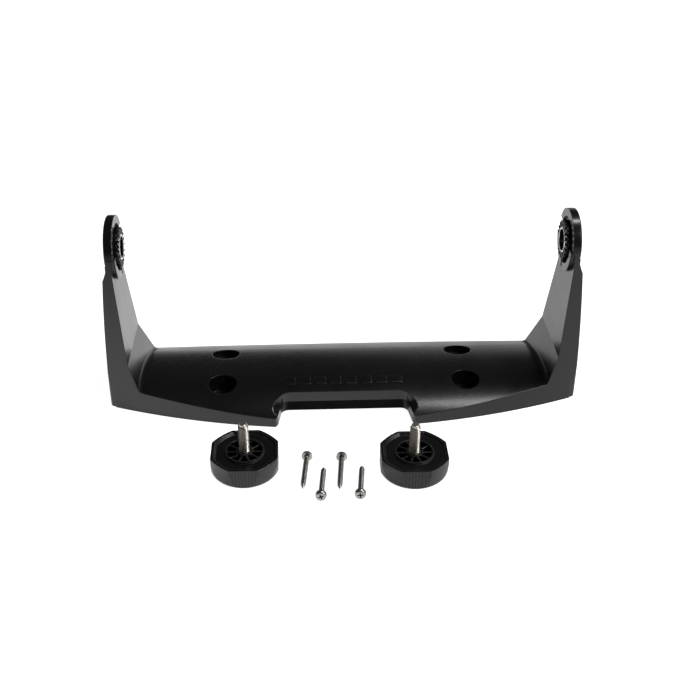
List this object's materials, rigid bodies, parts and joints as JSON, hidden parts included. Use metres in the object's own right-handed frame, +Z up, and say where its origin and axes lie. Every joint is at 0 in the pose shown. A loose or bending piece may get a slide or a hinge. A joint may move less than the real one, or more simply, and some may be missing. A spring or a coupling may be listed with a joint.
{
  "type": "chartplotter mounting bracket",
  "caption": "Moulded U-shaped tilt bracket for a boat's chartplotter, with toothed pivot bosses, clamp knobs on threaded studs and loose pan-head fixing screws.",
  "frame": {"origin": "centre of the four-hole screw pattern, on the plane of the underside", "axes": "+X along the bracket towards the right arm as seen from its bowed front, +Y towards the back, +Z up out of the surface it is screwed to"},
  "size_m": [0.3086, 0.1674, 0.1267],
  "materials": {
    "bracket": "fine-grained black moulding",
    "ratchet_ring": "harder, slightly glossier black moulding",
    "pivot_bush": "dark plated sleeve with a rubbed, bright rim",
    "knob_grip": "black moulding, satin sides",
    "knob_stud": "bright stainless thread",
    "screw": "stainless"
  },
  "bodies": {
    "bracket": {"bracket": "bracket", "ratchet_ring_left": "ratchet_ring", "ratchet_ring_right": "ratchet_ring", "pivot_bush_left": "pivot_bush", "pivot_bush_right": "pivot_bush"},
    "knob_left": {"knob_grip_left": "knob_grip", "knob_stud_left": "knob_stud"},
    "knob_right": {"knob_grip_right": "knob_grip", "knob_stud_right": "knob_stud"},
    "screw_1": {"screw_1": "screw"},
    "screw_2": {"screw_2": "screw"},
    "screw_3": {"screw_3": "screw"},
    "screw_4": {"screw_4": "screw"}
  },
  "joints": [
    {"name": "knob_left_turn", "type": "hinge", "parent": "bracket", "child": "knob_left", "pos_m": [-0.0629, -0.0892, 0], "axis": [0, 0, 1], "continuous": true},
    {"name": "knob_right_turn", "type": "hinge", "parent": "bracket", "child": "knob_right", "pos_m": [0.0394, -0.0938, 0], "axis": [0, 0, 1], "continuous": true},
    {"name": "screw_1_lift", "type": "slide", "parent": "bracket", "child": "screw_1", "axis": [0, 0, 1], "range_m": [0, 0.06]},
    {"name": "screw_2_lift", "type": "slide", "parent": "bracket", "child": "screw_2", "axis": [0, 0, 1], "range_m": [0, 0.06]},
    {"name": "screw_3_lift", "type": "slide", "parent": "bracket", "child": "screw_3", "axis": [0, 0, 1], "range_m": [0, 0.06]},
    {"name": "screw_4_lift", "type": "slide", "parent": "bracket", "child": "screw_4", "axis": [0, 0, 1], "range_m": [0, 0.06]}
  ]
}
